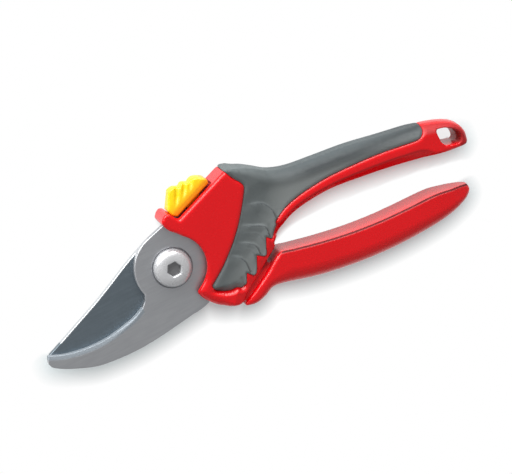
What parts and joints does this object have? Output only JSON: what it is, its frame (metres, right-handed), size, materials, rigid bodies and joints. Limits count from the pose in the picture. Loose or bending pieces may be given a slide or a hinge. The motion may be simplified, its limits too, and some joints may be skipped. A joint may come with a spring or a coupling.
{
  "type": "pruning shears",
  "caption": "One-hand bypass pruning shears with a hooked counter blade, a convex cutting blade, a soft-grip handle and a sliding thumb lock.",
  "frame": {"origin": "on the pivot axis, in the flat end of the pivot bolt that the shears lie on", "axes": "+X along the shears to the handle ends, +Y to the lock button's side, +Z along the pivot axis out of the bolt head's side"},
  "size_m": [0.2154, 0.0716, 0.018],
  "materials": {
    "red_shell": "glossy moulded red plastic",
    "soft_grey": "soft-touch grey elastomer, matt",
    "satin_steel": "satin ground steel",
    "coated_blade": "dark non-stick coating on steel, bare ground back edge",
    "polished_steel": "bright plated steel",
    "spring_steel": "plain spring steel",
    "bronze": "sintered bronze",
    "yellow_button": "semi-gloss moulded yellow plastic",
    "black_rubber": "black elastomer"
  },
  "bodies": {
    "upper": {"upper_handle_core": "red_shell", "upper_grip": "soft_grey", "hook_blade": "satin_steel", "pivot_bolt": "polished_steel", "pivot_nut": "polished_steel", "pivot_spring_washer": "spring_steel", "pivot_bush": "bronze", "return_spring": "spring_steel", "closing_pad": "black_rubber", "hook_pin_1": "spring_steel", "hook_pin_2": "spring_steel", "lock_detent_leaf": "spring_steel"},
    "lower": {"lower_handle": "red_shell", "cutting_blade": "coated_blade", "blade_pin_1": "spring_steel", "blade_pin_2": "spring_steel"},
    "lock": {"lock_button": "yellow_button", "lock_catch": "spring_steel", "lock_screw": "spring_steel"}
  },
  "joints": [
    {"name": "handle_pivot", "type": "hinge", "parent": "upper", "child": "lower", "pos_m": [0, 0, 0], "axis": [0, 0, -1], "range_deg": [0, 34], "deforming": ["return_spring"]},
    {"name": "lock_slide", "type": "slide", "parent": "upper", "child": "lock", "axis": [0.9336, 0.3584, 0], "range_m": [0, 0.006]}
  ]
}
